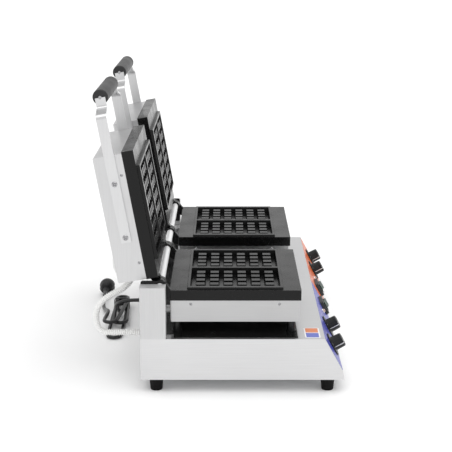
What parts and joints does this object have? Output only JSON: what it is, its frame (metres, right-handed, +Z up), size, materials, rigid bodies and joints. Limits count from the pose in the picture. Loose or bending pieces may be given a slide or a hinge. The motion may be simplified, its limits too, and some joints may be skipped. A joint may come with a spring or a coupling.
{
  "type": "waffle maker",
  "caption": "Counter-top electric waffle maker with two stations side by side, hinged upper grid plates, round grips, knobs and rocker switches on a sloping panel.",
  "frame": {"origin": "on the table, under the middle of the machine's box without its free cord", "axes": "+X across the machine to the operator's right, +Y to the rear, +Z up"},
  "size_m": [0.713, 0.5326, 0.5604],
  "materials": {
    "stainless": "brushed stainless sheet",
    "shaft_steel": "ground and polished bar",
    "screw_steel": "zinc plated",
    "cast_plate": "cast plate with black non-stick coating",
    "black_pan": "black coated sheet",
    "bracket_black": "black coated plate",
    "foot_rubber": "moulded rubber",
    "galvanised": "galvanised sheet",
    "label_blue": "printed film, blue",
    "label_orange": "printed film, orange",
    "badge": "plain two-tone badge",
    "knob_plastic": "moulded black phenolic",
    "grip_plastic": "moulded black grip with fine flutes",
    "switch_plastic": "moulded black bezel",
    "rocker_plastic": "dark green translucent rocker",
    "lamp_lens": "clear lens in a bright ring",
    "conduit_steel": "ribbed flexible metal conduit",
    "cord_rubber": "black rubber sheathed cord",
    "plug_rubber": "moulded black plug",
    "brass": "turned and plated",
    "element_steel": "heat-darkened sheath",
    "inner_plastic": "moulded housing"
  },
  "bodies": {
    "base": {"base_casing": "stainless", "top_pan": "black_pan", "bottom_cover": "galvanised", "rubber_feet": "foot_rubber", "foot_screws": "screw_steel", "left_column": "stainless", "right_column": "stainless", "bearing_brackets": "bracket_black", "hinge_shaft": "shaft_steel", "left_control_label": "label_blue", "right_control_label": "label_orange", "deck_badge": "badge", "thermostats": "inner_plastic", "timers": "inner_plastic", "indicator_lamps": "lamp_lens", "skirt_screws": "screw_steel", "lower_elements": "element_steel", "support_posts": "black_pan", "wire_sleeves": "stainless", "conduit_glands": "screw_steel", "cable_gland": "cord_rubber", "terminal_block": "inner_plastic", "power_cord": "cord_rubber", "cord_hank": "cord_rubber", "cord_tie": "cord_rubber", "plug_lead": "cord_rubber", "mains_plug": "plug_rubber", "plug_pins": "brass", "left_lower_plate": "cast_plate", "left_lower_skirt": "stainless", "left_switch_housing": "switch_plastic", "left_conduit": "conduit_steel", "right_lower_plate": "cast_plate", "right_lower_skirt": "stainless", "right_switch_housing": "switch_plastic", "right_conduit": "conduit_steel"},
    "left_head": {"left_upper_plate": "cast_plate", "left_upper_cover": "stainless", "left_handle_arms": "stainless", "left_handle_grip": "grip_plastic", "left_handle_rod": "screw_steel", "left_handle_screws": "screw_steel", "left_cover_screws": "screw_steel", "left_upper_element": "element_steel", "left_conduit_grommet": "foot_rubber"},
    "left_temperature_knob": {"left_temperature_knob": "knob_plastic"},
    "left_timer_knob": {"left_timer_knob": "knob_plastic"},
    "left_rocker": {"left_rocker": "rocker_plastic"},
    "right_head": {"right_upper_plate": "cast_plate", "right_upper_cover": "stainless", "right_handle_arms": "stainless", "right_handle_grip": "grip_plastic", "right_handle_rod": "screw_steel", "right_handle_screws": "screw_steel", "right_cover_screws": "screw_steel", "right_upper_element": "element_steel", "right_conduit_grommet": "foot_rubber"},
    "right_temperature_knob": {"right_temperature_knob": "knob_plastic"},
    "right_timer_knob": {"right_timer_knob": "knob_plastic"},
    "right_rocker": {"right_rocker": "rocker_plastic"}
  },
  "joints": [
    {"name": "left_head_hinge", "type": "hinge", "parent": "base", "child": "left_head", "pos_m": [-0.187, 0.1092, 0.2], "axis": [1, 0, 0], "range_deg": [0, 99.9], "deforming": ["left_conduit"]},
    {"name": "left_temperature_turn", "type": "hinge", "parent": "base", "child": "left_temperature_knob", "pos_m": [-0.292, -0.21698, 0.07093], "axis": [0, 0.8774, -0.4798], "range_deg": [0, 270]},
    {"name": "left_timer_turn", "type": "hinge", "parent": "base", "child": "left_timer_knob", "pos_m": [-0.192, -0.21698, 0.07093], "axis": [0, 0.8774, -0.4798], "range_deg": [0, 300]},
    {"name": "left_rocker_tilt", "type": "hinge", "parent": "base", "child": "left_rocker", "pos_m": [-0.061, -0.22121, 0.07153], "axis": [0, 0.4798, 0.8774], "range_deg": [0, 16]},
    {"name": "right_head_hinge", "type": "hinge", "parent": "base", "child": "right_head", "pos_m": [0.187, 0.1092, 0.2], "axis": [1, 0, 0], "range_deg": [0, 99.9], "deforming": ["right_conduit"]},
    {"name": "right_temperature_turn", "type": "hinge", "parent": "base", "child": "right_temperature_knob", "pos_m": [0.292, -0.21698, 0.07093], "axis": [0, 0.8774, -0.4798], "range_deg": [0, 270]},
    {"name": "right_timer_turn", "type": "hinge", "parent": "base", "child": "right_timer_knob", "pos_m": [0.192, -0.21698, 0.07093], "axis": [0, 0.8774, -0.4798], "range_deg": [0, 300]},
    {"name": "right_rocker_tilt", "type": "hinge", "parent": "base", "child": "right_rocker", "pos_m": [0.061, -0.22121, 0.07153], "axis": [0, 0.4798, 0.8774], "range_deg": [0, 16]}
  ]
}
